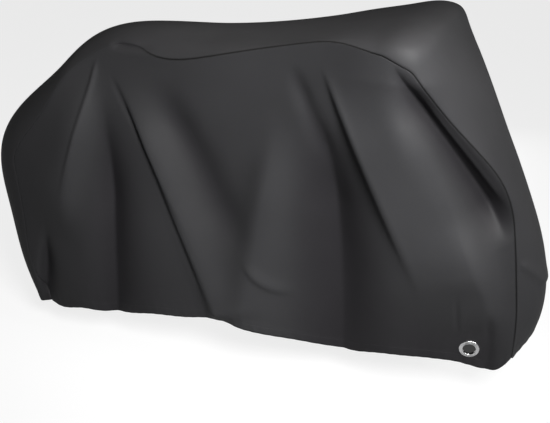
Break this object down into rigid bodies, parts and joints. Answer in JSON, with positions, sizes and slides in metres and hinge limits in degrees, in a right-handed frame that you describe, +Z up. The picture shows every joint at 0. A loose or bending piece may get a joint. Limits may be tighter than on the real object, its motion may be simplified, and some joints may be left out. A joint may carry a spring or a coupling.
{
  "type": "bicycle cover",
  "caption": "Fitted waterproof cloth cover that drapes over a whole upright bicycle, open below, with a metal eyelet low on each side of the front wheel for a lock.",
  "frame": {"origin": "the spot under the cover's top, in its middle plane, where the bicycle's saddle bears", "axes": "+X towards the front wheel, +Z up, the rider's right-hand side at -Y"},
  "size_m": [1.7404, 0.6358, 1.0305],
  "materials": {
    "cover_cloth": "coated black woven cloth with a soft sheen",
    "eyelet_metal": "bright plated, rounded and smooth"
  },
  "bodies": {
    "root": {"spine_panel": "cover_cloth", "side_panel_right": "cover_cloth", "side_panel_left": "cover_cloth", "eyelet_strip_right": "cover_cloth", "eyelet_strip_left": "cover_cloth", "eyelet_right": "eyelet_metal", "eyelet_left": "eyelet_metal"}
  },
  "joints": []
}
